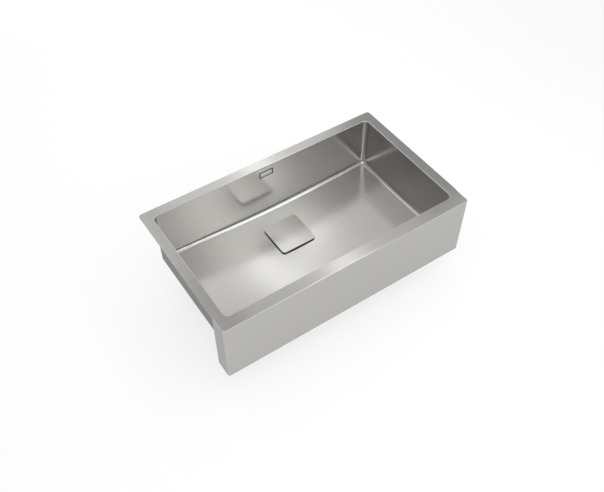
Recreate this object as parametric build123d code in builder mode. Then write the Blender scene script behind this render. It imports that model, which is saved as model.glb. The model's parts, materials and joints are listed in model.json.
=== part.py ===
from build123d import *
import math
import os

# Apron-front kitchen sink with one bowl, its strainer waste and its overflow.
# Millimetres. +X to the right, +Y to the rear, +Z up. The origin is the middle of the
# bowl's mouth on the underside of the rim, the plane that rests on the worktop.

# Bowl
bowl_length = 740.0
bowl_width = 402.0
bowl_depth = 194.0  # rim top to where the floor's slopes meet, on the drain axis
bowl_sheet = 1.2
bowl_corner_radius = 15.0
bowl_floor_radius = 13.5
floor_slope = 2.8  # degrees, falling to the drain all round
drain_to_rear_wall = 121.0
mouth_edge_radius = 2.0
mouth_lip = 3.0  # turned-out lip of the bowl, welded flush into the rim

# Rim and apron, one folded sheet
rim_sheet = 1.2
side_rim = 30.0
rear_rim = 30.0
front_rim = 36.0
rim_corner_radius = 9.0
apron_height = 208.0
apron_return = 52.0
apron_lip = 18.0
apron_corner_radius = 7.0
apron_bend_radius = 2.5

# Brackets between the apron and the bowl
bracket_width = 40.0
bracket_spacing = 440.0
bracket_leg = 24.0
bracket_drop = 130.0  # top of the bracket below the rim's underside
bracket_bend_radius = 2.0

# Sound pads
pad_sheet = 3.0
pad_corner_radius = 10.0
pad_to_drain = 78.0  # from the drain axis to the base pads
pad_to_wall = 26.0
pad_drop = 36.0  # top of the wall pads below the rim's underside
wall_pad_height = 84.0
pad_to_overflow = 58.0

# Drain recess and seals
recess_radius = 54.0
recess_depth = 5.0
recess_bend_radius = 1.0
cup_gasket_sheet = 1.0
waste_gasket_sheet = 2.5

# Strainer cup
cup_radius = 41.0
cup_depth = 32.0
cup_sheet = 0.8
cup_bend_radius = 2.5
cup_flange_gap = 1.5  # flange edge to the recess wall
cup_ledge_gap = 1.2  # cup wall to the ledge and to the waste body
seat_radius = 34.0  # small end of the conical seat
seat_rise = 6.0
seat_drop = 1.3  # small end of the seat below the basket's floor
cup_window_inner = 12.0
cup_window_outer = 29.0
cup_spoke = 5.0
cup_spokes = 5

# Waste screw and insert
screw_radius = 3.0
screw_head_radius = 6.0
screw_head_height = 3.2
screw_head_round = 1.6
screw_slot = 1.2
screw_slot_depth = 1.6
screw_end_gap = 1.0  # screw's end short of the insert's end
insert_wall = 1.6
insert_length = 14.0
thread_clearance = 0.05
shank_clearance = 0.3

# Waste body
waste_wall = 3.0
waste_flange_width = 13.0
waste_flange = 4.0
waste_below_cup = 8.0  # cup floor to the top of the funnel
funnel_height = 20.0
outlet_radius = 23.9
outlet_wall = 3.9
outlet_length = 26.0
boss_radius = 8.0
boss_gap = 0.4
boss_height = 24.0
boss_rib = 3.0
boss_rib_height = 18.0
boss_ribs = 4
boss_rib_turn = 45.0  # degrees, first rib from +X

# Strainer basket
basket_sheet = 0.7
basket_recess = 3.0  # lip of the basket below the cup's flange
basket_lip = 1.8
basket_lip_gap = 1.0
basket_side_gap = 0.3
basket_bend_radius = 1.5
basket_slots = 16
basket_slot_width = 2.4
basket_slot_margin = 5.0
basket_hole_radius = 1.8
basket_ring_radii = (13.5, 20.0, 26.5)
basket_hole_pitch = 8.2  # along each ring
seal_height = 4.0
seal_rim_height = 1.3  # widest part of the seal above its foot
seal_gap = 0.3
stem_radius = 2.5
stem_clearance = 0.1
knob_radius = 9.0
knob_height = 6.0
knob_neck = 6.0  # taper from the knob to its waist
knob_edge_radius = 2.0
knob_waist_radius = 4.5
knob_collar_radius = 6.5
knob_collar = 2.0
knob_rise = 2.5  # knob top above the cup's flange
basket_nut_flats = 8.0
basket_nut_height = 2.0
catch_disc = 1.5
catch_wall = 1.4
catch_gap = 0.5
catch_slot = 2.0
catch_fingers = 4
catch_grip = 1.6  # reach of the fingers past the top of the screw's head

# Drain cover
cover_size = 116.0
cover_sheet = 1.5
cover_corner_radius = 10.0
cover_edge_radius = 0.5
cover_gap = 4.5  # above the floor at the middle of a side
cover_foot_count = 4
cover_foot_turn = 45.0  # degrees, one foot towards each corner
foot_radius = 4.5
foot_taper = 1.0  # narrower at the flange

# Overflow
slot_length = 47.0
slot_height = 23.0
slot_corner_radius = 2.0
slot_drop = 27.8  # middle of the slot below the rim's underside
slot_gap = 3.0  # water gap round the cover
overflow_plate = 2.0
overflow_edge_radius = 0.4
peg_radius = 2.0
peg_length = 14.0
peg_spacing = 22.0
peg_clearance = 0.3
socket_wall = 1.8
socket_gap = 4.0  # back of the overflow plate to the sockets
overflow_gasket_sheet = 2.0
overflow_wall = 2.2
overflow_flange = 3.0
overflow_ear = 15.0  # flange beside the chamber, with the stud in its middle
overflow_margin = 1.5  # chamber wider than the slot, each side
overflow_rim = 5.0  # flange above and below the chamber
overflow_corner_radius = 4.0
stud_radius = 2.0
stud_clearance = 0.2
stud_past_nut = 2.0
stud_nut_flats = 7.0
stud_nut_height = 3.2

# Overflow pipe and its two unions
pipe_radius = 9.0
pipe_wall = 1.5
pipe_bend_radius = 36.0
collar_sheet = 2.0
union_spigot_radius = 11.0
union_bore_radius = 7.5
union_spigot_length = 15.0
union_seal_sheet = 2.0
union_grip = 9.0  # length of the nut along the spigot
union_shoulder = 3.0
union_nut_wall = 2.4
union_nut_ribs = 12
union_rib_radius = 0.9
union_clearance = 0.2
union_wall_gap = 0.8  # upper nut to the bowl's rear wall
waste_spigot_reach = 70.0  # drain axis to the end of the overflow inlet
waste_spigot_drop = 24.0  # cup flange to the overflow inlet's axis


# Levels and places that follow from the sizes
rim_length = bowl_length + 2 * side_rim
front_y = -bowl_width / 2 - front_rim
rear_y = bowl_width / 2 + rear_rim
front_wall_y = -bowl_width / 2 - bowl_sheet
rear_wall_y = bowl_width / 2 + bowl_sheet
drain_y = bowl_width / 2 - drain_to_rear_wall
slot_plane = Plane.XZ.offset(-bowl_width / 2)
drain_axis = Axis((0, drain_y, 0), (0, 0, 1))
# Sections are revolved from a plane whose seam meets a wall away from its middle and corners
section_turn = math.radians(60)
drain_plane = Plane(
    origin=(0, drain_y, 0),
    x_dir=(math.cos(section_turn), math.sin(section_turn), 0),
    z_dir=(math.sin(section_turn), -math.cos(section_turn), 0),
)
slope_run = math.tan(math.radians(floor_slope))
slope_stretch = 1 / math.cos(math.radians(floor_slope))


def floor_z(radius):
    """Height of the bowl's floor at a distance from the drain axis."""
    return rim_sheet - bowl_depth + radius * slope_run


def at_drain(height):
    """Level plane at a height, centred on the drain axis."""
    return Plane(origin=(0, drain_y, height))


ledge_z = floor_z(recess_radius) - recess_depth
flange_under_z = ledge_z + cup_gasket_sheet
flange_z = flange_under_z + cup_sheet
flange_radius = recess_radius - cup_flange_gap
ledge_hole_radius = cup_radius + cup_sheet + cup_ledge_gap
cup_floor_z = flange_z - cup_depth
screw_hole_radius = screw_radius + shank_clearance
stem_hole_radius = stem_radius + stem_clearance
stem_end_z = cup_floor_z + screw_head_height + catch_gap
basket_nut_z = stem_end_z
catch_z = basket_nut_z + basket_nut_height
basket_floor_z = catch_z + catch_disc
basket_top_z = flange_z - basket_recess
seat_low_z = basket_floor_z - seat_drop
seat_high_z = seat_low_z + seat_rise
seat_run = (cup_radius - seat_radius) / seat_rise
cover_z = floor_z(cover_size / 2) + cover_gap


def bowl_form(grow):
    """The bowl's inside as a solid, or its outside if grown by the sheet."""
    reach = math.hypot(bowl_length, bowl_width) + drain_to_rear_wall
    edge = recess_radius + grow
    drop = grow * slope_stretch
    with BuildPart() as form:
        with BuildSketch(drain_plane):
            with BuildLine():
                FilletPolyline(
                    (0, rim_sheet),
                    (0, ledge_z - grow),
                    (edge, ledge_z - grow),
                    (edge, floor_z(edge) - drop),
                    (reach, floor_z(reach) - drop),
                    (reach, rim_sheet),
                    radius=(0, 0, recess_bend_radius + grow, recess_bend_radius + bowl_sheet - grow, 0, 0),
                    close=True,
                )
            make_face()
        revolve(axis=drain_axis)
        with BuildSketch(Plane.XY.offset(rim_sheet)):
            RectangleRounded(bowl_length + 2 * grow, bowl_width + 2 * grow, bowl_corner_radius + grow)
        extrude(amount=ledge_z - grow - rim_sheet, mode=Mode.INTERSECT)
        floor = form.faces().filter_by(GeomType.CONE).sort_by(SortBy.AREA)[-1]
        seams = (GeomType.LINE, GeomType.CIRCLE)
        fillet([edge for edge in floor.edges() if edge.geom_type not in seams], bowl_floor_radius + grow)
    return form.part


# Bowl, with its welding lip, drain hole and overflow slot
bowl_outside = bowl_form(bowl_sheet)
bowl_inside = bowl_form(0)
with BuildPart() as bowl:
    add(bowl_outside)
    with BuildSketch(Plane.XY):
        RectangleRounded(bowl_length + 2 * mouth_lip, bowl_width + 2 * mouth_lip, bowl_corner_radius + mouth_lip)
    extrude(amount=rim_sheet)
    add(bowl_inside, mode=Mode.SUBTRACT)
    with BuildSketch(at_drain(ledge_z)):
        Circle(ledge_hole_radius)
    extrude(amount=bowl_sheet, both=True, mode=Mode.SUBTRACT)
    with BuildSketch(slot_plane):
        with Locations((0, -slot_drop)):
            RectangleRounded(slot_length, slot_height, slot_corner_radius)
    extrude(amount=bowl_sheet, both=True, mode=Mode.SUBTRACT)
    mouth = bowl.faces().sort_by(Axis.Z)[-1]
    fillet(mouth.inner_wires()[0].edges(), mouth_edge_radius)

# Rim and apron
with BuildPart() as rim_and_apron:
    with BuildSketch(Plane.XY.offset(rim_sheet)):
        with Locations((0, front_y)):
            Rectangle(rim_length, apron_return, align=(Align.CENTER, Align.MIN))
    extrude(amount=-apron_height)
    fillet(rim_and_apron.edges().filter_by(Axis.Z).group_by(Axis.Y)[0], apron_corner_radius)
    folds = rim_and_apron.edges().filter_by(Axis.Z, reverse=True).group_by(Axis.Y)[:-1]
    fillet([edge for group in folds for edge in group], apron_bend_radius)
    offset(amount=-rim_sheet, openings=rim_and_apron.faces().sort_by(Axis.Y)[-1])
    with BuildSketch(Plane.XY.offset(rim_sheet - apron_height)):
        with Locations((0, front_y + apron_lip)):
            Rectangle(rim_length - 2 * apron_lip, apron_return, align=(Align.CENTER, Align.MIN))
    extrude(amount=rim_sheet, mode=Mode.SUBTRACT)
    with BuildSketch(Plane.XY) as rim_outline:
        with Locations((0, rear_y)):
            Rectangle(rim_length, rear_y - front_y - apron_return, align=(Align.CENTER, Align.MAX))
        fillet(rim_outline.vertices().group_by(Axis.Y)[-1], rim_corner_radius)
    extrude(amount=rim_sheet)
    with BuildSketch(Plane.XY):
        RectangleRounded(bowl_length + 2 * mouth_lip, bowl_width + 2 * mouth_lip, bowl_corner_radius + mouth_lip)
    extrude(amount=rim_sheet, mode=Mode.SUBTRACT)

# Brackets: a leg on the bowl's front wall, a web, and a leg on the apron's back
with BuildPart() as apron_brackets:
    apron_back_y = front_y + rim_sheet
    web_z = -bracket_drop - bracket_leg
    bracket_planes = [Plane.YZ.offset(side * bracket_spacing / 2) for side in (-1, 1)]
    with BuildSketch(*bracket_planes):
        with BuildLine():
            FilletPolyline(
                (front_wall_y, -bracket_drop),
                (front_wall_y, web_z),
                (apron_back_y + rim_sheet, web_z),
                (apron_back_y + rim_sheet, web_z - bracket_leg),
                radius=bracket_bend_radius,
            )
            offset(amount=rim_sheet, side=Side.RIGHT)
        make_face()
    extrude(amount=bracket_width / 2, both=True)


def base_pad(side):
    """Pad under the floor, on the left (-1) or the right (1) of the drain."""
    inner = recess_radius
    outer = math.hypot(bowl_length, bowl_width)
    under = bowl_sheet * slope_stretch
    deep = (bowl_sheet + pad_sheet) * slope_stretch
    pad_length = bowl_length / 2 - pad_to_wall - pad_to_drain
    with BuildPart() as pad:
        with BuildSketch(drain_plane):
            with BuildLine():
                Polyline(
                    (inner, floor_z(inner) - under),
                    (outer, floor_z(outer) - under),
                    (outer, floor_z(outer) - deep),
                    (inner, floor_z(inner) - deep),
                    close=True,
                )
            make_face()
        revolve(axis=drain_axis)
        with BuildSketch(Plane.XY):
            with Locations((side * (pad_to_drain + pad_length / 2), 0)):
                RectangleRounded(pad_length, bowl_width - 2 * pad_to_wall, pad_corner_radius)
        extrude(amount=-bowl_depth - pad_sheet, mode=Mode.INTERSECT)
    return pad.part


def wall_pad(wall_y, facing, low_x, high_x):
    """Flat pad on the outside of the front (-1) or the rear (1) wall."""
    with BuildPart() as pad:
        with BuildSketch(Plane.XZ.offset(-wall_y)):
            with Locations(((low_x + high_x) / 2, -pad_drop - wall_pad_height / 2)):
                RectangleRounded(high_x - low_x, wall_pad_height, pad_corner_radius)
        extrude(amount=-facing * pad_sheet)
    return pad.part


wall_pad_end = bowl_length / 2 - pad_to_wall
rear_pad_left = wall_pad(rear_wall_y, 1, -wall_pad_end, -pad_to_overflow)
rear_pad_right = wall_pad(rear_wall_y, 1, pad_to_overflow, wall_pad_end)
front_pad = wall_pad(front_wall_y, -1, -wall_pad_end, wall_pad_end)

# Strainer cup: flange, wall, conical seat and a floor with windows
with BuildPart() as strainer_cup:
    with BuildSketch(drain_plane):
        with BuildLine():
            FilletPolyline(
                (flange_radius, flange_z),
                (cup_radius, flange_z),
                (cup_radius, seat_high_z),
                (seat_radius, seat_low_z),
                (seat_radius, cup_floor_z),
                (screw_hole_radius, cup_floor_z),
                radius=cup_bend_radius,
            )
            offset(amount=cup_sheet, side=Side.LEFT)
        make_face()
    revolve(axis=drain_axis)
    with BuildSketch(at_drain(cup_floor_z)):
        Circle(cup_window_outer)
        Circle(cup_window_inner, mode=Mode.SUBTRACT)
        with PolarLocations(cup_window_outer / 2, cup_spokes):
            Rectangle(cup_window_outer, cup_spoke, mode=Mode.SUBTRACT)
    extrude(amount=-cup_sheet, mode=Mode.SUBTRACT)

# Flat seals above and below the bowl's ledge
with BuildPart() as cup_gasket:
    with BuildSketch(at_drain(ledge_z)):
        Circle(flange_radius)
        Circle(ledge_hole_radius + cup_bend_radius, mode=Mode.SUBTRACT)
    extrude(amount=cup_gasket_sheet)

waste_top_z = ledge_z - bowl_sheet - waste_gasket_sheet
waste_inner_radius = ledge_hole_radius
waste_flange_radius = waste_inner_radius + waste_flange_width
with BuildPart() as waste_gasket:
    with BuildSketch(at_drain(waste_top_z)):
        Circle(recess_radius - recess_bend_radius)
        Circle(ledge_hole_radius, mode=Mode.SUBTRACT)
    extrude(amount=waste_gasket_sheet)

# Waste body: its passage first, with the boss and ribs left standing in it
funnel_z = cup_floor_z - cup_sheet - waste_below_cup
outlet_top_z = funnel_z - funnel_height
outlet_z = outlet_top_z - outlet_length
boss_z = cup_floor_z - cup_sheet - boss_gap
insert_radius = screw_radius + insert_wall
inlet_z = flange_z - waste_spigot_drop
inlet_plane = Plane(origin=(0, drain_y + waste_spigot_reach, inlet_z), x_dir=(1, 0, 0), z_dir=(0, 1, 0))
with BuildPart() as waste_passage:
    with BuildSketch(drain_plane):
        with BuildLine():
            Polyline(
                (0, waste_top_z),
                (waste_inner_radius, waste_top_z),
                (waste_inner_radius, funnel_z),
                (outlet_radius - outlet_wall, outlet_top_z),
                (outlet_radius - outlet_wall, outlet_z),
                (0, outlet_z),
                close=True,
            )
        make_face()
    revolve(axis=drain_axis)
    with BuildSketch(at_drain(boss_z)):
        Circle(boss_radius)
    extrude(amount=-boss_height, mode=Mode.SUBTRACT)
    with BuildSketch(at_drain(boss_z - boss_height + boss_rib_height)):
        with PolarLocations(waste_inner_radius / 2, boss_ribs, start_angle=boss_rib_turn):
            Rectangle(waste_inner_radius, boss_rib)
    extrude(amount=-boss_rib_height, mode=Mode.SUBTRACT)
    with BuildSketch(at_drain(boss_z)):
        Circle(insert_radius + thread_clearance)
    extrude(amount=-insert_length)
    with BuildSketch(inlet_plane):
        Circle(union_bore_radius)
    extrude(amount=waste_inner_radius - waste_spigot_reach)

with BuildPart() as waste_body:
    with BuildSketch(drain_plane):
        with BuildLine():
            Polyline(
                (0, waste_top_z),
                (waste_flange_radius, waste_top_z),
                (waste_flange_radius, waste_top_z - waste_flange),
                (waste_inner_radius + waste_wall, waste_top_z - waste_flange),
                (waste_inner_radius + waste_wall, funnel_z),
                (outlet_radius, outlet_top_z),
                (outlet_radius, outlet_z),
                (0, outlet_z),
                close=True,
            )
        make_face()
    revolve(axis=drain_axis)
    with BuildSketch(inlet_plane):
        Circle(union_spigot_radius)
    extrude(amount=-waste_spigot_reach)
    add(waste_passage.part, mode=Mode.SUBTRACT)

with BuildPart() as waste_insert:
    with BuildSketch(at_drain(boss_z)):
        Circle(insert_radius)
        Circle(screw_radius + thread_clearance, mode=Mode.SUBTRACT)
    extrude(amount=-insert_length)

with BuildPart() as waste_screw:
    with BuildSketch(at_drain(cup_floor_z)):
        Circle(screw_head_radius)
    extrude(amount=screw_head_height)
    fillet(waste_screw.edges().group_by(Axis.Z)[-1], screw_head_round)
    with BuildSketch(at_drain(cup_floor_z + screw_head_height)):
        Rectangle(2 * screw_head_radius, screw_slot)
    extrude(amount=-screw_slot_depth, mode=Mode.SUBTRACT)
    with BuildSketch(at_drain(cup_floor_z)):
        Circle(screw_radius)
    extrude(amount=boss_z - insert_length + screw_end_gap - cup_floor_z)

# Strainer basket: lip, tapered slotted wall and perforated floor
basket_floor_radius = seat_radius - basket_side_gap
basket_lip_radius = cup_radius - basket_lip_gap
basket_mouth_radius = basket_lip_radius - basket_lip
with BuildPart() as strainer_basket:
    with BuildSketch(drain_plane):
        with BuildLine():
            FilletPolyline(
                (basket_lip_radius, basket_top_z - basket_sheet),
                (basket_mouth_radius, basket_top_z - basket_sheet),
                (basket_floor_radius, basket_floor_z),
                (stem_hole_radius, basket_floor_z),
                radius=basket_bend_radius,
            )
            offset(amount=basket_sheet, side=Side.RIGHT)
        make_face()
    revolve(axis=drain_axis)
    seal_z = basket_floor_z + basket_bend_radius
    slot_low_z = seal_z + seal_height + basket_slot_margin / 2
    slot_high_z = basket_top_z - basket_slot_margin
    wall_slots = [
        Plane(
            origin=(0, drain_y, (slot_low_z + slot_high_z) / 2),
            x_dir=(0, 0, 1),
            z_dir=(math.cos(turn), math.sin(turn), 0),
        )
        for turn in (2 * math.pi * number / basket_slots for number in range(basket_slots))
    ]
    with BuildSketch(*wall_slots):
        SlotOverall(slot_high_z - slot_low_z, basket_slot_width)
    extrude(amount=basket_lip_radius, mode=Mode.SUBTRACT)
    with BuildSketch(at_drain(basket_floor_z)):
        for ring_radius in basket_ring_radii:
            ring_holes = round(2 * math.pi * ring_radius / basket_hole_pitch)
            with PolarLocations(ring_radius, ring_holes):
                Circle(basket_hole_radius)
    extrude(amount=basket_sheet, mode=Mode.SUBTRACT)

# Seal round the foot of the basket, just clear of the cup's conical seat
basket_taper = (basket_mouth_radius - basket_floor_radius) / (basket_top_z - basket_sheet - basket_floor_z)
seal_offset = seal_gap * math.hypot(1, seat_run)


def basket_wall_radius(height):
    """Outside of the basket's wall at a height."""
    return basket_floor_radius + (height - basket_floor_z) * basket_taper


def seat_face_radius(height):
    """Inside of the cup's conical seat at a height."""
    return seat_radius + (height - seat_low_z) * seat_run


with BuildPart() as basket_seal:
    seal_rim_z = seal_z + seal_rim_height
    seal_top_z = seal_z + seal_height
    with BuildSketch(drain_plane):
        with BuildLine():
            Polyline(
                (basket_wall_radius(seal_z), seal_z),
                (seat_face_radius(seal_z) - seal_offset, seal_z),
                (seat_face_radius(seal_rim_z) - seal_offset, seal_rim_z),
                (basket_wall_radius(seal_top_z), seal_top_z),
                close=True,
            )
        make_face()
    revolve(axis=drain_axis)

# Knob on its stem, turned in one piece
knob_top_z = flange_z + knob_rise
basket_inside_z = basket_floor_z + basket_sheet
with BuildPart() as basket_knob:
    with BuildSketch(drain_plane):
        with BuildLine():
            FilletPolyline(
                (0, knob_top_z),
                (knob_radius, knob_top_z),
                (knob_radius, knob_top_z - knob_height),
                (knob_waist_radius, knob_top_z - knob_height - knob_neck),
                (knob_waist_radius, basket_inside_z + knob_collar),
                (knob_collar_radius, basket_inside_z + knob_collar),
                (knob_collar_radius, basket_inside_z),
                (stem_radius, basket_inside_z),
                (stem_radius, stem_end_z),
                (0, stem_end_z),
                radius=(0, knob_edge_radius, knob_edge_radius, knob_edge_radius, 0, 0, 0, 0, 0, 0),
                close=True,
            )
        make_face()
    revolve(axis=drain_axis)

# Catch under the basket: a disc on the stem with fingers round the screw's head
catch_inner_radius = screw_head_radius + catch_gap
catch_outer_radius = catch_inner_radius + catch_wall
with BuildPart() as basket_catch:
    with BuildSketch(at_drain(basket_floor_z)):
        Circle(catch_outer_radius)
        Circle(stem_hole_radius, mode=Mode.SUBTRACT)
    extrude(amount=-catch_disc)
    with BuildSketch(at_drain(catch_z)):
        Circle(catch_outer_radius)
        Circle(catch_inner_radius, mode=Mode.SUBTRACT)
        with PolarLocations(catch_outer_radius / 2, catch_fingers):
            Rectangle(catch_outer_radius, catch_slot, mode=Mode.SUBTRACT)
    extrude(amount=cup_floor_z + screw_head_height - catch_grip - catch_z)

with BuildPart() as basket_nut:
    with BuildSketch(at_drain(basket_nut_z)):
        RegularPolygon(basket_nut_flats / 2, 6, major_radius=False)
        Circle(stem_hole_radius, mode=Mode.SUBTRACT)
    extrude(amount=basket_nut_height)

# Drain cover and the feet that stand on the cup's flange
with BuildPart() as drain_cover:
    with BuildSketch(at_drain(cover_z)):
        RectangleRounded(cover_size, cover_size, cover_corner_radius)
    extrude(amount=cover_sheet)
    fillet(drain_cover.faces().sort_by(Axis.Z)[-1].edges(), cover_edge_radius)

foot_circle_radius = (flange_radius + cup_radius + cup_bend_radius) / 2
with BuildPart() as cover_feet:
    with BuildSketch(at_drain(cover_z)):
        with PolarLocations(foot_circle_radius, cover_foot_count, start_angle=cover_foot_turn):
            Circle(foot_radius)
    extrude(amount=flange_z - cover_z, taper=math.degrees(math.atan(foot_taper / (cover_z - flange_z))))

# Overflow cover: a plate in the slot on two pegs
plate_back_y = bowl_width / 2 + overflow_plate
peg_places = [(side * peg_spacing / 2, -slot_drop) for side in (-1, 1)]
with BuildPart() as overflow_cover:
    with BuildSketch(slot_plane):
        with Locations((0, -slot_drop)):
            RectangleRounded(slot_length - 2 * slot_gap, slot_height - 2 * slot_gap, slot_corner_radius)
    extrude(amount=-overflow_plate)
    fillet(overflow_cover.faces().sort_by(Axis.Y)[0].edges(), overflow_edge_radius)
    with BuildSketch(Plane.XZ.offset(-plate_back_y)):
        with Locations(*peg_places):
            Circle(peg_radius)
    extrude(amount=-peg_length)

# Overflow body: flange with two ears, chamber, peg sockets and a spigot downwards
union_nut_radius = union_spigot_radius + union_clearance + union_nut_wall
pipe_y = rear_wall_y + union_wall_gap + union_nut_radius
body_front_y = rear_wall_y + overflow_gasket_sheet
chamber_back_y = pipe_y + union_spigot_radius
chamber_length = slot_length + 2 * overflow_margin
chamber_height = slot_height + 2 * overflow_margin
ear_length = chamber_length + 2 * overflow_wall + 2 * overflow_ear
ear_height = chamber_height + 2 * overflow_wall + 2 * overflow_rim
stud_x = (chamber_length + overflow_ear) / 2 + overflow_wall
stud_places = [(side * stud_x, -slot_drop) for side in (-1, 1)]
chamber_floor_z = -slot_drop - chamber_height / 2
spigot_end_z = chamber_floor_z - overflow_wall - union_spigot_length
body_plane = Plane.XZ.offset(-body_front_y)
with BuildPart() as overflow_body:
    with BuildSketch(body_plane):
        with Locations((0, -slot_drop)):
            RectangleRounded(
                chamber_length + 2 * overflow_wall,
                chamber_height + 2 * overflow_wall,
                overflow_corner_radius,
            )
    extrude(amount=body_front_y - chamber_back_y)
    fillet(overflow_body.faces().sort_by(Axis.Y)[-1].edges(), overflow_corner_radius)
    with BuildSketch(body_plane):
        with Locations((0, -slot_drop)):
            RectangleRounded(ear_length, ear_height, overflow_corner_radius)
        with Locations(*stud_places):
            Circle(stud_radius + stud_clearance, mode=Mode.SUBTRACT)
    extrude(amount=-overflow_flange)
    with BuildSketch(Plane(origin=(0, pipe_y, spigot_end_z))):
        Circle(union_spigot_radius)
    extrude(amount=chamber_floor_z - spigot_end_z)
    with BuildSketch(body_plane):
        with Locations((0, -slot_drop)):
            RectangleRounded(chamber_length, chamber_height, slot_corner_radius)
    extrude(amount=body_front_y - chamber_back_y + overflow_wall, mode=Mode.SUBTRACT)
    with BuildSketch(Plane(origin=(0, pipe_y, spigot_end_z))):
        Circle(union_bore_radius)
    extrude(amount=chamber_floor_z - spigot_end_z, mode=Mode.SUBTRACT)
    socket_y = plate_back_y + socket_gap
    with BuildSketch(Plane.XZ.offset(-socket_y)):
        with Locations(*peg_places):
            Circle(peg_radius + peg_clearance + socket_wall)
            Circle(peg_radius + peg_clearance, mode=Mode.SUBTRACT)
    extrude(amount=socket_y - chamber_back_y + overflow_wall)

with BuildPart() as overflow_gasket:
    with BuildSketch(Plane.XZ.offset(-rear_wall_y)):
        with Locations((0, -slot_drop)):
            RectangleRounded(ear_length, ear_height, overflow_corner_radius)
            RectangleRounded(chamber_length, chamber_height, slot_corner_radius, mode=Mode.SUBTRACT)
        with Locations(*stud_places):
            Circle(stud_radius + stud_clearance, mode=Mode.SUBTRACT)
    extrude(amount=-overflow_gasket_sheet)

# Studs welded to the rear wall, and their nuts
nut_front_y = body_front_y + overflow_flange
with BuildPart() as overflow_studs:
    with BuildSketch(Plane.XZ.offset(-rear_wall_y)):
        with Locations(*stud_places):
            Circle(stud_radius)
    extrude(amount=rear_wall_y - nut_front_y - stud_nut_height - stud_past_nut)

with BuildPart() as overflow_nuts:
    with BuildSketch(Plane.XZ.offset(-nut_front_y)):
        with Locations(*stud_places):
            RegularPolygon(stud_nut_flats / 2, 6, major_radius=False)
            Circle(stud_radius + thread_clearance, mode=Mode.SUBTRACT)
    extrude(amount=-stud_nut_height)

# Unions: each plane lies on a spigot's end, facing along the pipe
upper_union = Plane(origin=(0, pipe_y, spigot_end_z), x_dir=(1, 0, 0), z_dir=(0, 0, -1))
lower_union = inlet_plane
collar_radius = union_spigot_radius - union_clearance
collar_back = union_seal_sheet + collar_sheet


def union_seal(plane):
    """Flat ring between a spigot's end and the pipe's collar."""
    with BuildPart() as seal:
        with BuildSketch(plane):
            Circle(collar_radius)
            Circle(union_bore_radius, mode=Mode.SUBTRACT)
        extrude(amount=union_seal_sheet)
    return seal.part


def union_nut(plane):
    """Ribbed nut round a spigot, with a shoulder behind the pipe's collar."""
    with BuildPart() as nut:
        with BuildSketch(plane.offset(-union_grip)):
            Circle(union_nut_radius - union_rib_radius)
            with PolarLocations(union_nut_radius - union_rib_radius, union_nut_ribs):
                Circle(union_rib_radius)
        extrude(amount=union_grip + collar_back + union_shoulder)
        with BuildSketch(plane.offset(-union_grip)):
            Circle(union_spigot_radius + union_clearance)
        extrude(amount=union_grip + collar_back, mode=Mode.SUBTRACT)
        with BuildSketch(plane.offset(collar_back)):
            Circle(pipe_radius + union_clearance)
        extrude(amount=union_shoulder, mode=Mode.SUBTRACT)
    return nut.part


# Overflow pipe: down behind the rear wall, one bend, and forward into the waste body
pipe_low = lower_union.offset(union_seal_sheet)
pipe_high = upper_union.offset(union_seal_sheet)
with BuildPart() as overflow_pipe:
    with BuildLine():
        FilletPolyline(pipe_low.origin, (0, pipe_y, inlet_z), pipe_high.origin, radius=pipe_bend_radius)
    with BuildSketch(pipe_low):
        Circle(pipe_radius)
    sweep()
    with BuildSketch(pipe_low, pipe_high):
        Circle(collar_radius)
    extrude(amount=collar_sheet)
    with BuildLine():
        FilletPolyline(pipe_low.origin, (0, pipe_y, inlet_z), pipe_high.origin, radius=pipe_bend_radius)
    with BuildSketch(pipe_low):
        Circle(pipe_radius - pipe_wall)
    sweep(mode=Mode.SUBTRACT)

pieces = {
    "bowl": bowl.part,
    "rim_and_apron": rim_and_apron.part,
    "apron_brackets": apron_brackets.part,
    "base_pad_left": base_pad(-1),
    "base_pad_right": base_pad(1),
    "rear_pad_left": rear_pad_left,
    "rear_pad_right": rear_pad_right,
    "front_pad": front_pad,
    "strainer_cup": strainer_cup.part,
    "cup_gasket": cup_gasket.part,
    "waste_gasket": waste_gasket.part,
    "waste_body": waste_body.part,
    "waste_insert": waste_insert.part,
    "waste_screw": waste_screw.part,
    "strainer_basket": strainer_basket.part,
    "basket_seal": basket_seal.part,
    "basket_knob": basket_knob.part,
    "basket_catch": basket_catch.part,
    "basket_nut": basket_nut.part,
    "drain_cover": drain_cover.part,
    "cover_feet": cover_feet.part,
    "overflow_cover": overflow_cover.part,
    "overflow_body": overflow_body.part,
    "overflow_gasket": overflow_gasket.part,
    "overflow_studs": overflow_studs.part,
    "overflow_nuts": overflow_nuts.part,
    "overflow_pipe": overflow_pipe.part,
    "overflow_upper_nut": union_nut(upper_union),
    "overflow_upper_seal": union_seal(upper_union),
    "overflow_lower_nut": union_nut(lower_union),
    "overflow_lower_seal": union_seal(lower_union),
}
os.makedirs("parts", exist_ok=True)
for name, piece in pieces.items():
    piece.label = name
    export_step(piece, f"parts/{name}.step")
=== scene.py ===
import json
import math

import bmesh
import bpy
from mathutils import Matrix, Vector


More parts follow.
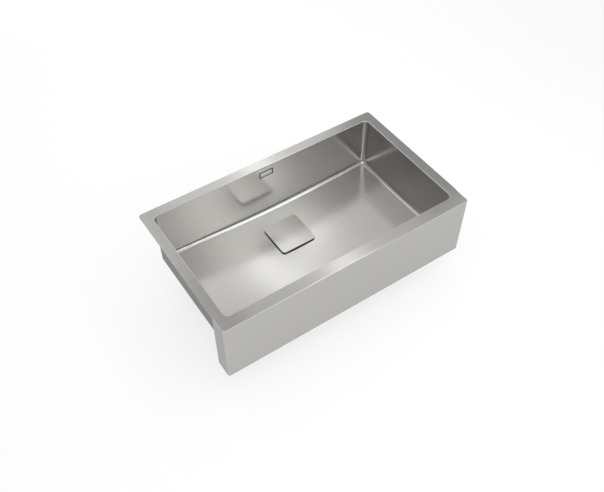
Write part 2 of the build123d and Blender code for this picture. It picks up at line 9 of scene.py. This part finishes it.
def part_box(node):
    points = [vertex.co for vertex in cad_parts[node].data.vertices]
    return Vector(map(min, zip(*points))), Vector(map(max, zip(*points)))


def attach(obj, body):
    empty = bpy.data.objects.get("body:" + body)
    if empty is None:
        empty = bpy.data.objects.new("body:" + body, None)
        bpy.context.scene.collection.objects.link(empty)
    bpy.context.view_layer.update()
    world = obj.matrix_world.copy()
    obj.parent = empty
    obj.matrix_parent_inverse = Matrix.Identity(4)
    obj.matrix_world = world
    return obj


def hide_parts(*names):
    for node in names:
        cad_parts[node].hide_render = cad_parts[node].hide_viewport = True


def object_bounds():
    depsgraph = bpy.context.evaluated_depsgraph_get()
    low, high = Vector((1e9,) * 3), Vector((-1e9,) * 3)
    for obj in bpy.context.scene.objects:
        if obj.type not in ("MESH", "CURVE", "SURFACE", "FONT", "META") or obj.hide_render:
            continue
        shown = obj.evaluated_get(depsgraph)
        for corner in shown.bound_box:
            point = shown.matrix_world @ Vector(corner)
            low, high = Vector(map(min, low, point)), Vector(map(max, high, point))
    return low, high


# Looks of the apron-front sink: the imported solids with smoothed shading, procedural steel,
# rubber, plastic and brass, a thread on the waste outlet, a pale floor and soft studio lamps.
# Lengths are in metres.

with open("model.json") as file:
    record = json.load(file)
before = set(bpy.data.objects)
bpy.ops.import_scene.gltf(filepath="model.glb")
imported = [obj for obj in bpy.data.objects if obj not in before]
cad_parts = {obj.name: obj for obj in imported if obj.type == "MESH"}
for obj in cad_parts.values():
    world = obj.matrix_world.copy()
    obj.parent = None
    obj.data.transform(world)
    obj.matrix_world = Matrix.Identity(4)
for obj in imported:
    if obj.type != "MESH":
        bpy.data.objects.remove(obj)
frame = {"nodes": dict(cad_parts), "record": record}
cad_low, cad_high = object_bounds()
nodes = frame["nodes"]

WHITE = (1, 1, 1, 1)

# Camera at the photograph's viewing angle
CAMERA_PLACE = (-0.79972, -1.17529, 1.51098)
CAMERA_AZIMUTH = math.radians(-33.990)
CAMERA_ELEVATION = math.radians(49.718)
CAMERA_LENS = 44.10   # mm
CAMERA_SENSOR = 36.0  # mm, its width


def add_camera():
    """Adds the camera and makes it the scene's own."""
    turn, rise = CAMERA_AZIMUTH, CAMERA_ELEVATION
    back = Vector((
        math.sin(turn) * math.cos(rise),
        -math.cos(turn) * math.cos(rise),
        math.sin(rise),
    ))
    right = Vector((math.cos(turn), math.sin(turn), 0))
    up = back.cross(right)
    data = bpy.data.cameras.new("camera")
    data.lens = CAMERA_LENS
    data.sensor_width = CAMERA_SENSOR
    camera = bpy.data.objects.new("camera", data)
    axes = Matrix((right, up, back)).transposed().to_4x4()
    camera.matrix_world = Matrix.Translation(CAMERA_PLACE) @ axes
    bpy.context.scene.collection.objects.link(camera)
    bpy.context.scene.camera = camera


# Smooth shading of the tessellated solids
WELD_DISTANCE = 2e-6
SHARP_ANGLE = math.radians(32)
FACE_WEIGHT = 100  # the largest faces decide the normals


def smooth_group():
    """Geometry nodes that weld the tessellation and mark its sharp edges."""
    group = bpy.data.node_groups.new("smooth_shading", "GeometryNodeTree")
    for way in ("INPUT", "OUTPUT"):
        group.interface.new_socket("Geometry", in_out=way, socket_type="NodeSocketGeometry")
    new, link = group.nodes.new, group.links.new
    start = new("NodeGroupInput")
    end = new("NodeGroupOutput")
    weld = new("GeometryNodeMergeByDistance")
    weld.inputs["Distance"].default_value = WELD_DISTANCE
    faces = new("GeometryNodeSetShadeSmooth")
    edges = new("GeometryNodeSetShadeSmooth")
    edges.domain = "EDGE"
    edges.inputs["Shade Smooth"].default_value = False
    angle = new("GeometryNodeInputMeshEdgeAngle")
    sharp = new("FunctionNodeCompare")
    sharp.operation = "GREATER_THAN"
    sharp.inputs["B"].default_value = SHARP_ANGLE
    link(start.outputs["Geometry"], weld.inputs["Geometry"])
    link(weld.outputs["Geometry"], faces.inputs["Geometry"])
    link(faces.outputs["Geometry"], edges.inputs["Geometry"])
    link(angle.outputs["Unsigned Angle"], sharp.inputs["A"])
    link(sharp.outputs["Result"], edges.inputs["Selection"])
    link(edges.outputs["Geometry"], end.inputs["Geometry"])
    return group


def smooth(piece, group):
    """Smooth shading on a piece, with flat faces kept flat."""
    shading = piece.modifiers.new("smooth_shading", "NODES")
    shading.node_group = group
    weights = piece.modifiers.new("face_weights", "WEIGHTED_NORMAL")
    weights.keep_sharp = True
    weights.weight = FACE_WEIGHT


# Shader nodes

NOISE_RANGE = (0.25, 0.75)  # where most of a noise's values lie


def computed(tree, kind, *values, **settings):
    """A new node's output, from its inputs' values, which are sockets or constants."""
    node = tree.nodes.new(kind)
    for name, value in settings.items():
        setattr(node, name, value)
    inputs = [socket for socket in node.inputs if socket.enabled]
    for socket, value in zip(inputs, values):
        if isinstance(value, bpy.types.NodeSocket):
            tree.links.new(value, socket)
        else:
            socket.default_value = value
    return next(socket for socket in node.outputs if socket.enabled)


def number(tree, operation, *values):
    """The result of a sum or test on numbers."""
    return computed(tree, "ShaderNodeMath", *values, operation=operation)


def vector(tree, operation, *values):
    """The result of a sum on vectors: a vector, or a number."""
    return computed(tree, "ShaderNodeVectorMath", *values, operation=operation)


def mixed(tree, kind, share, one, other):
    """A mix of two numbers or colours: one at share 0, the other at share 1."""
    return computed(tree, "ShaderNodeMix", share, one, other, data_type=kind)


def remapped(tree, value, before, after, **settings):
    """A value with its range laid over another range."""
    return computed(tree, "ShaderNodeMapRange", value, *before, *after, **settings)


def spread(tree, noise, low, high):
    """A noise value spread over low to high."""
    return remapped(tree, noise, NOISE_RANGE, (low, high))


def place(tree):
    """The point, in the piece's own coordinates."""
    return tree.nodes.new("ShaderNodeTexCoord").outputs["Object"]


def facing(tree, kind="Normal"):
    """The way that the surface looks: its smoothed normal, or its true one."""
    return tree.nodes.new("ShaderNodeNewGeometry").outputs[kind]


def split(tree, value):
    """X, Y and Z of a vector."""
    parts = tree.nodes.new("ShaderNodeSeparateXYZ")
    tree.links.new(value, parts.inputs["Vector"])
    return parts.outputs


def stretched_noise(tree, cells, detail=2.0):
    """Noise with a number of cells a metre on each axis."""
    stretch = tree.nodes.new("ShaderNodeMapping")
    stretch.inputs["Scale"].default_value = cells
    noise = tree.nodes.new("ShaderNodeTexNoise")
    noise.inputs["Scale"].default_value = 1.0
    noise.inputs["Detail"].default_value = detail
    tree.links.new(place(tree), stretch.inputs["Vector"])
    tree.links.new(stretch.outputs["Vector"], noise.inputs["Vector"])
    return noise.outputs["Fac"]


def even_noise(tree, cells, detail=2.0):
    """Noise with the same number of cells a metre on every axis."""
    return stretched_noise(tree, (cells, cells, cells), detail)


def tinted(tree, noise, colour, change):
    """A colour that a noise value makes darker and lighter by a share."""
    darker, lighter = ((*[c * level for c in colour], 1) for level in (1 - change, 1 + change))
    return mixed(tree, "RGBA", spread(tree, noise, 0, 1), darker, lighter)


def bump(tree, shader, height, strength, depth):
    """Relief from a height value, depth in metres."""
    relief = tree.nodes.new("ShaderNodeBump")
    relief.inputs["Strength"].default_value = strength
    relief.inputs["Distance"].default_value = depth
    tree.links.new(height, relief.inputs["Height"])
    tree.links.new(relief.outputs["Normal"], shader.inputs["Normal"])


# Materials

# Brushed metal: cells a metre across and along the brush, and what they change
SIDE_FACING = 0.7  # X of the normal from which the brush runs along Y
LINE_CELLS = (1400, 10)
LINE_GLOSS = 0.02
LINE_BUMP = 0.1
LINE_DEPTH = 4e-6
STREAK_CELLS = (240, 1.5)
STREAK_GLOSS = 0.008
STREAK_TINT = 0.015
EDGE_TINT = 0.65  # tint of what is mirrored at a grazing angle

# Unpolished outside of the bowl, with a darker colour that is partly painted shade
BOWL_CENTRE = (0, 0, -0.1)
BOWL_LIP = -0.004  # the outside lies below this level
# colour partly of the duller sheet and partly painted shade on the outside below the rim
DULL_SHADED_COLOUR = (0.29, 0.29, 0.285)
DULL_ROUGHNESS = (0.37, 0.47)
DULL_TINT = 0.08
DULL_CELLS = 9
DULL_DETAIL = 4.0

# Cut edges of the overflow slot and its plate, painted near black as the shade of the gap
# between them
SLOT_GAP = 0.0045    # reach past the plate's sides
SLOT_DEPTH = 0.006   # reach in front of and behind the plate
SLOT_FACING = 0.9    # Y of the normal below which a face is an edge
# painted shade of the gap round the overflow plate
GAP_SHADE_COLOUR = (0.015, 0.015, 0.014)
CUT_ROUGHNESS = (0.45, 0.6)
CUT_TINT = 0.2
CUT_CELLS = 900

# Rubber and moulded plastic
GRAIN_GLOSS = 0.06
GRAIN_BUMP = 0.3
CLOUD_CELLS = 35

BOWL_COLOUR = (0.530, 0.525, 0.510)
BOWL_ROUGHNESS = 0.185

# Colour and roughness
METALS = {
    "rim_steel": ((0.505, 0.500, 0.485), 0.185),
    "cover_steel": (BOWL_COLOUR, 0.2),
    "strainer_steel": ((0.58, 0.575, 0.56), 0.15),
    "fastener_steel": ((0.56, 0.56, 0.56), 0.25),
    "brass": ((0.72, 0.52, 0.25), 0.25),
}

# Colour, roughness, the grain's cells a metre and depth, and the share by which the tone varies
PLASTICS = {
    "sound_pad": ((0.06, 0.06, 0.065), 0.75, 700, 0.0004, 0.15),
    "seal_rubber": ((0.03, 0.03, 0.03), 0.55, 1500, 0.0001, 0.15),
    "waste_plastic": ((0.75, 0.75, 0.73), 0.4, 1500, 0.00005, 0.02),
    # the overflow plastic is near black, partly its own colour and partly painted shade inside
    # the closed overflow chamber
    "overflow_plastic": ((0.035, 0.035, 0.037), 0.45, 1500, 0.00005, 0.1),
    "nut_plastic": ((0.62, 0.62, 0.61), 0.4, 1500, 0.00005, 0.02),
}


def new_material(name):
    """A material with one Principled shader: (material, tree, shader)."""
    material = bpy.data.materials.new(name)
    material.use_nodes = True
    tree = material.node_tree
    tree.nodes.clear()
    output = tree.nodes.new("ShaderNodeOutputMaterial")
    shader = tree.nodes.new("ShaderNodeBsdfPrincipled")
    tree.links.new(shader.outputs["BSDF"], output.inputs["Surface"])
    return material, tree, shader


def brushed(tree, cells):
    """Brush lines along X, or along Y on faces that look along X."""
    across, along = cells
    side = number(tree, "ABSOLUTE", split(tree, facing(tree))["X"])
    return mixed(
        tree, "FLOAT", number(tree, "GREATER_THAN", side, SIDE_FACING),
        stretched_noise(tree, (along, across, across)),
        stretched_noise(tree, (across, along, across)),
    )


def steel(name, colour, roughness):
    """Brushed metal: fine lines and broader streaks in its gloss, faint streaks in its tone."""
    material, tree, shader = new_material(name)
    shader.inputs["Metallic"].default_value = 1.0
    shader.inputs["Specular Tint"].default_value = (EDGE_TINT, EDGE_TINT, EDGE_TINT, 1)
    lines = brushed(tree, LINE_CELLS)
    streaks = brushed(tree, STREAK_CELLS)
    rough = number(
        tree, "ADD",
        spread(tree, lines, roughness - LINE_GLOSS, roughness + LINE_GLOSS),
        spread(tree, streaks, -STREAK_GLOSS, STREAK_GLOSS),
    )
    tree.links.new(tinted(tree, streaks, colour, STREAK_TINT), shader.inputs["Base Color"])
    tree.links.new(rough, shader.inputs["Roughness"])
    bump(tree, shader, lines, LINE_BUMP, LINE_DEPTH)
    return material


def overlay(material, mask, tint, rough):
    """Lays another colour and roughness over a material where a mask is 1."""
    tree = material.node_tree
    shader = tree.nodes["Principled BSDF"]
    for name, kind, top in (("Base Color", "RGBA", tint), ("Roughness", "FLOAT", rough)):
        socket = shader.inputs[name]
        below = socket.links[0].from_socket
        tree.links.new(mixed(tree, kind, mask, below, top), socket)


def outside(tree):
    """1 on faces of the bowl's outside, which look away from its middle, 0 on the others."""
    point = place(tree)
    arm = vector(tree, "SUBTRACT", point, BOWL_CENTRE)
    away = number(tree, "GREATER_THAN", vector(tree, "DOT_PRODUCT", arm, facing(tree)), 0.0)
    below = number(tree, "LESS_THAN", split(tree, point)["Z"], BOWL_LIP)
    return number(tree, "MULTIPLY", away, below)


def dull_and_shaded_outside(material):
    """The unpolished sheet on the bowl's outside: rougher, and darker in colour, which is
    partly painted shade.
    """
    tree = material.node_tree
    clouds = even_noise(tree, DULL_CELLS, DULL_DETAIL)
    tint = tinted(tree, clouds, DULL_SHADED_COLOUR, DULL_TINT)
    overlay(material, outside(tree), tint, spread(tree, clouds, *DULL_ROUGHNESS))


def slot_edges(tree):
    """1 on the cut edges of the overflow slot and its plate, 0 elsewhere."""
    low, high = (Vector(corner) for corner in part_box("overflow_cover"))
    reach = (high - low) / 2 + Vector((SLOT_GAP, SLOT_DEPTH, SLOT_GAP))
    arm = vector(tree, "SUBTRACT", place(tree), (low + high) / 2)
    share = vector(tree, "ABSOLUTE", vector(tree, "DIVIDE", arm, reach))
    way = vector(tree, "ABSOLUTE", facing(tree, "True Normal"))
    mask = number(tree, "LESS_THAN", split(tree, way)["Y"], SLOT_FACING)
    for side in split(tree, share):
        mask = number(tree, "MULTIPLY", mask, number(tree, "LESS_THAN", side, 1.0))
    return mask


def painted_gap_shade(material):
    """Painted shade, near black, on the cut edges of the overflow slot and its plate, in the
    gap between them.
    """
    tree = material.node_tree
    shade_mottle = even_noise(tree, CUT_CELLS)
    tint = tinted(tree, shade_mottle, GAP_SHADE_COLOUR, CUT_TINT)
    overlay(material, slot_edges(tree), tint, spread(tree, shade_mottle, *CUT_ROUGHNESS))


def plain(name, colour, roughness, cells, depth, change):
    """Rubber or moulded plastic with a fine surface grain and slightly uneven colour."""
    material, tree, shader = new_material(name)
    grain = even_noise(tree, cells)
    clouds = even_noise(tree, CLOUD_CELLS)
    rough = spread(tree, grain, roughness - GRAIN_GLOSS, roughness + GRAIN_GLOSS)
    tree.links.new(tinted(tree, clouds, colour, change), shader.inputs["Base Color"])
    tree.links.new(rough, shader.inputs["Roughness"])
    bump(tree, shader, grain, GRAIN_BUMP, depth)
    return material


def make_materials():
    """A material for every slot of the record."""
    made = {"bowl_steel": steel("bowl_steel", BOWL_COLOUR, BOWL_ROUGHNESS)}
    dull_and_shaded_outside(made["bowl_steel"])
    for name, finish in METALS.items():
        made[name] = steel(name, *finish)
    for name, finish in PLASTICS.items():
        made[name] = plain(name, *finish)
    # painted shade on the cut edges round the overflow plate
    for name in ("bowl_steel", "cover_steel"):
        painted_gap_shade(made[name])
    return made


def dress(materials, group):
    """Smooth shading and a material for every CAD node."""
    for subpart in frame["record"]["subparts"]:
        piece = nodes[subpart["node"]]
        smooth(piece, group)
        piece.data.materials.clear()
        piece.data.materials.append(materials[subpart["material_slot"]])


# Thread of the waste outlet, an inch and a half pipe thread
OUTLET_AXIS = (0.0, 0.080)
OUTLET_END = -0.280159
OUTLET_RADIUS = 0.0239
THREAD_LENGTH = 0.0215
THREAD_PITCH = 0.002309
THREAD_DEPTH = 0.0011
THREAD_HALF = 0.0008    # half the groove's width at the outlet's surface
THREAD_CLEAR = 0.00015  # how far the cutter stands out of the surface
THREAD_LEAD = 0.5       # turns of the cutter below the outlet's end
THREAD_STEPS = 72       # a turn
THREAD_FADE = 40        # steps over which the groove runs out


def thread_cutter():
    """A groove of V section wound round the outlet from its end, as a closed solid."""
    steps = int(THREAD_STEPS * (THREAD_LENGTH / THREAD_PITCH + THREAD_LEAD))
    outer = OUTLET_RADIUS + THREAD_CLEAR
    half = THREAD_HALF * (THREAD_DEPTH + THREAD_CLEAR) / THREAD_DEPTH
    groove = bmesh.new()
    rings = []
    for step in range(steps + 1):
        turns = step / THREAD_STEPS
        angle = 2 * math.pi * turns
        middle = OUTLET_END + THREAD_PITCH * (turns - THREAD_LEAD)
        depth = THREAD_DEPTH * min(1.0, (steps - step) / THREAD_FADE)
        section = ((outer, -half), (outer, half), (OUTLET_RADIUS - depth, 0.0))
        rings.append([
            groove.verts.new((
                OUTLET_AXIS[0] + radius * math.cos(angle),
                OUTLET_AXIS[1] + radius * math.sin(angle),
                middle + lift,
            ))
            for radius, lift in section
        ])
    for one, two in zip(rings, rings[1:]):
        for k in range(len(section)):
            groove.faces.new((one[k], one[k - 2], two[k - 2], two[k]))
    groove.faces.new(rings[0])
    groove.faces.new(rings[-1])
    bmesh.ops.recalc_face_normals(groove, faces=groove.faces)
    mesh = bpy.data.meshes.new("thread_cutter")
    groove.to_mesh(mesh)
    groove.free()
    return bpy.data.objects.new("thread_cutter", mesh)


def welded_copy(node):
    """A copy of a CAD node with its tessellation welded."""
    form = bmesh.new()
    form.from_mesh(nodes[node].data)
    bmesh.ops.remove_doubles(form, verts=form.verts, dist=WELD_DISTANCE)
    bmesh.ops.recalc_face_normals(form, faces=form.faces)
    mesh = bpy.data.meshes.new(node + "_plain")
    form.to_mesh(mesh)
    form.free()
    return bpy.data.objects.new(node + "_plain", mesh)


def cut_thread(material, group):
    """The waste body with the thread cut into its outlet, in place of the plain one."""
    body, cutter = welded_copy("waste_body"), thread_cutter()
    for part in (body, cutter):
        bpy.context.scene.collection.objects.link(part)
    cut = body.modifiers.new("thread", "BOOLEAN")
    cut.operation = "DIFFERENCE"
    cut.solver = "EXACT"
    cut.object = cutter
    finished = body.evaluated_get(bpy.context.evaluated_depsgraph_get())
    mesh = bpy.data.meshes.new_from_object(finished)
    mesh.materials.clear()
    mesh.materials.append(material)
    piece = bpy.data.objects.new("waste_body_threaded", mesh)
    bpy.context.scene.collection.objects.link(piece)
    for part in (body, cutter):
        bpy.data.objects.remove(part)
    smooth(piece, group)
    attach(piece, "sink")
    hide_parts("waste_body")


# Floor: its colour as a lamp's light finds it, and to the camera and in reflections
# a darker colour, which carries the shadow, with a glow added
FLOOR_SIZE = 40.0
FLOOR_GAP = 0.0005  # below the lowest point
FLOOR_LIT = (0.8, 0.8, 0.8, 1)
FLOOR_SEEN = (0.3, 0.3, 0.3, 1)
FLOOR_GLOW = (0.72, 0.86)  # near the object and far from it
FLOOR_REACH = (1.3, 4.0)   # distances between which the glow rises


def add_floor():
    """Pale floor under the lowest point, white to the camera and in reflections."""
    bpy.ops.mesh.primitive_plane_add(size=FLOOR_SIZE, location=(0, 0, cad_low[2] - FLOOR_GAP))
    floor = bpy.context.object
    floor.name = "floor"
    material = bpy.data.materials.new("floor")
    material.use_nodes = True
    tree = material.node_tree
    tree.nodes.clear()
    distance = vector(tree, "LENGTH", place(tree))
    level = remapped(
        tree, distance, FLOOR_REACH, FLOOR_GLOW, interpolation_type="SMOOTHSTEP")
    glow = computed(tree, "ShaderNodeEmission", WHITE, level)
    shaded = computed(tree, "ShaderNodeBsdfDiffuse", FLOOR_SEEN)
    seen = computed(tree, "ShaderNodeAddShader", shaded, glow)
    lit = computed(tree, "ShaderNodeBsdfDiffuse", FLOOR_LIT)
    rays = tree.nodes.new("ShaderNodeLightPath").outputs
    mirrored = number(tree, "MAXIMUM", rays["Is Glossy Ray"], rays["Is Transmission Ray"])
    in_view = number(tree, "MAXIMUM", rays["Is Camera Ray"], mirrored)
    surface = computed(tree, "ShaderNodeMixShader", in_view, lit, seen)
    output = tree.nodes.new("ShaderNodeOutputMaterial")
    tree.links.new(surface, output.inputs["Surface"])
    floor.data.materials.append(material)


WORLD_LEVEL = 0.34
HORIZON_LEVEL = 1.4
HORIZON_RISE = (0.34, 0.56)  # sines of the angles between which the surroundings grow darker


def add_world():
    """Pale studio surroundings, white at the horizon."""
    world = bpy.data.worlds.new("studio")
    bpy.context.scene.world = world
    world.use_nodes = True
    tree = world.node_tree
    background = tree.nodes["Background"]
    background.inputs["Color"].default_value = WHITE
    way = tree.nodes.new("ShaderNodeTexCoord").outputs["Generated"]
    level = remapped(
        tree, split(tree, way)["Z"], HORIZON_RISE, (HORIZON_LEVEL, WORLD_LEVEL),
        interpolation_type="SMOOTHSTEP")
    tree.links.new(level, background.inputs["Strength"])


# Long soft panels that run from the front to the rear, on a cylinder about the Y axis:
# name, angle from straight up towards +X and width, both in degrees, front and rear end,
# and level, where 1 is white
LAMP_RADIUS = 1.5
LAMPS = [
    ("strip", 26.3, 4.6, -2.5, 2.5, 1.11),
    ("strip_edge", 26.0, 10, -2.5, 2.5, 0.13),
    ("right_panel", 24.0, 38, 0.4, 2.5, 0.47),
    ("right_mid", 46.0, 16, -2.5, 0.4, 0.46),
    ("top_left", -8.0, 12, 0.4, 2.5, 0.94),
    ("left_panel", -22.0, 18, -2.5, 2.5, 0.8),
    ("left_mid", -42.0, 20, -2.5, 0.4, 0.15),
    ("front_panel", 0.0, 68, -2.5, 0.4, 0.6),
    ("front_strip", 22.0, 10, -2.5, 0.4, 0.96),
    ("rear_panel", 20.0, 50, 1.2, 3.0, 0.26),
    ("right_rear", 52.0, 16, 0.4, 2.5, 0.12),
    ("low_panel", 72.0, 24, -2.5, 2.5, 0.2),
]


def add_lamp(name, turn, width, front, rear, level):
    """A soft panel along Y that faces the Y axis."""
    turn = math.radians(turn)
    outward = Vector((math.sin(turn), 0, math.cos(turn)))
    along = Vector((0, 1, 0))
    data = bpy.data.lights.new(name, "AREA")
    data.shape = "RECTANGLE"
    data.size = 2 * LAMP_RADIUS * math.tan(math.radians(width) / 2)
    data.size_y = rear - front
    data.energy = math.pi * data.size * data.size_y * level
    lamp = bpy.data.objects.new(name, data)
    axes = Matrix((along.cross(outward), along, outward)).transposed().to_4x4()
    middle = LAMP_RADIUS * outward + along * (front + rear) / 2
    lamp.matrix_world = Matrix.Translation(middle) @ axes
    lamp.visible_camera = False
    bpy.context.scene.collection.objects.link(lamp)


add_camera()
all_materials = make_materials()
shading_group = smooth_group()
dress(all_materials, shading_group)
cut_thread(all_materials["waste_plastic"], shading_group)
add_floor()
add_world()
for lamp in LAMPS:
    add_lamp(*lamp)
bpy.context.scene.view_settings.view_transform = "Standard"
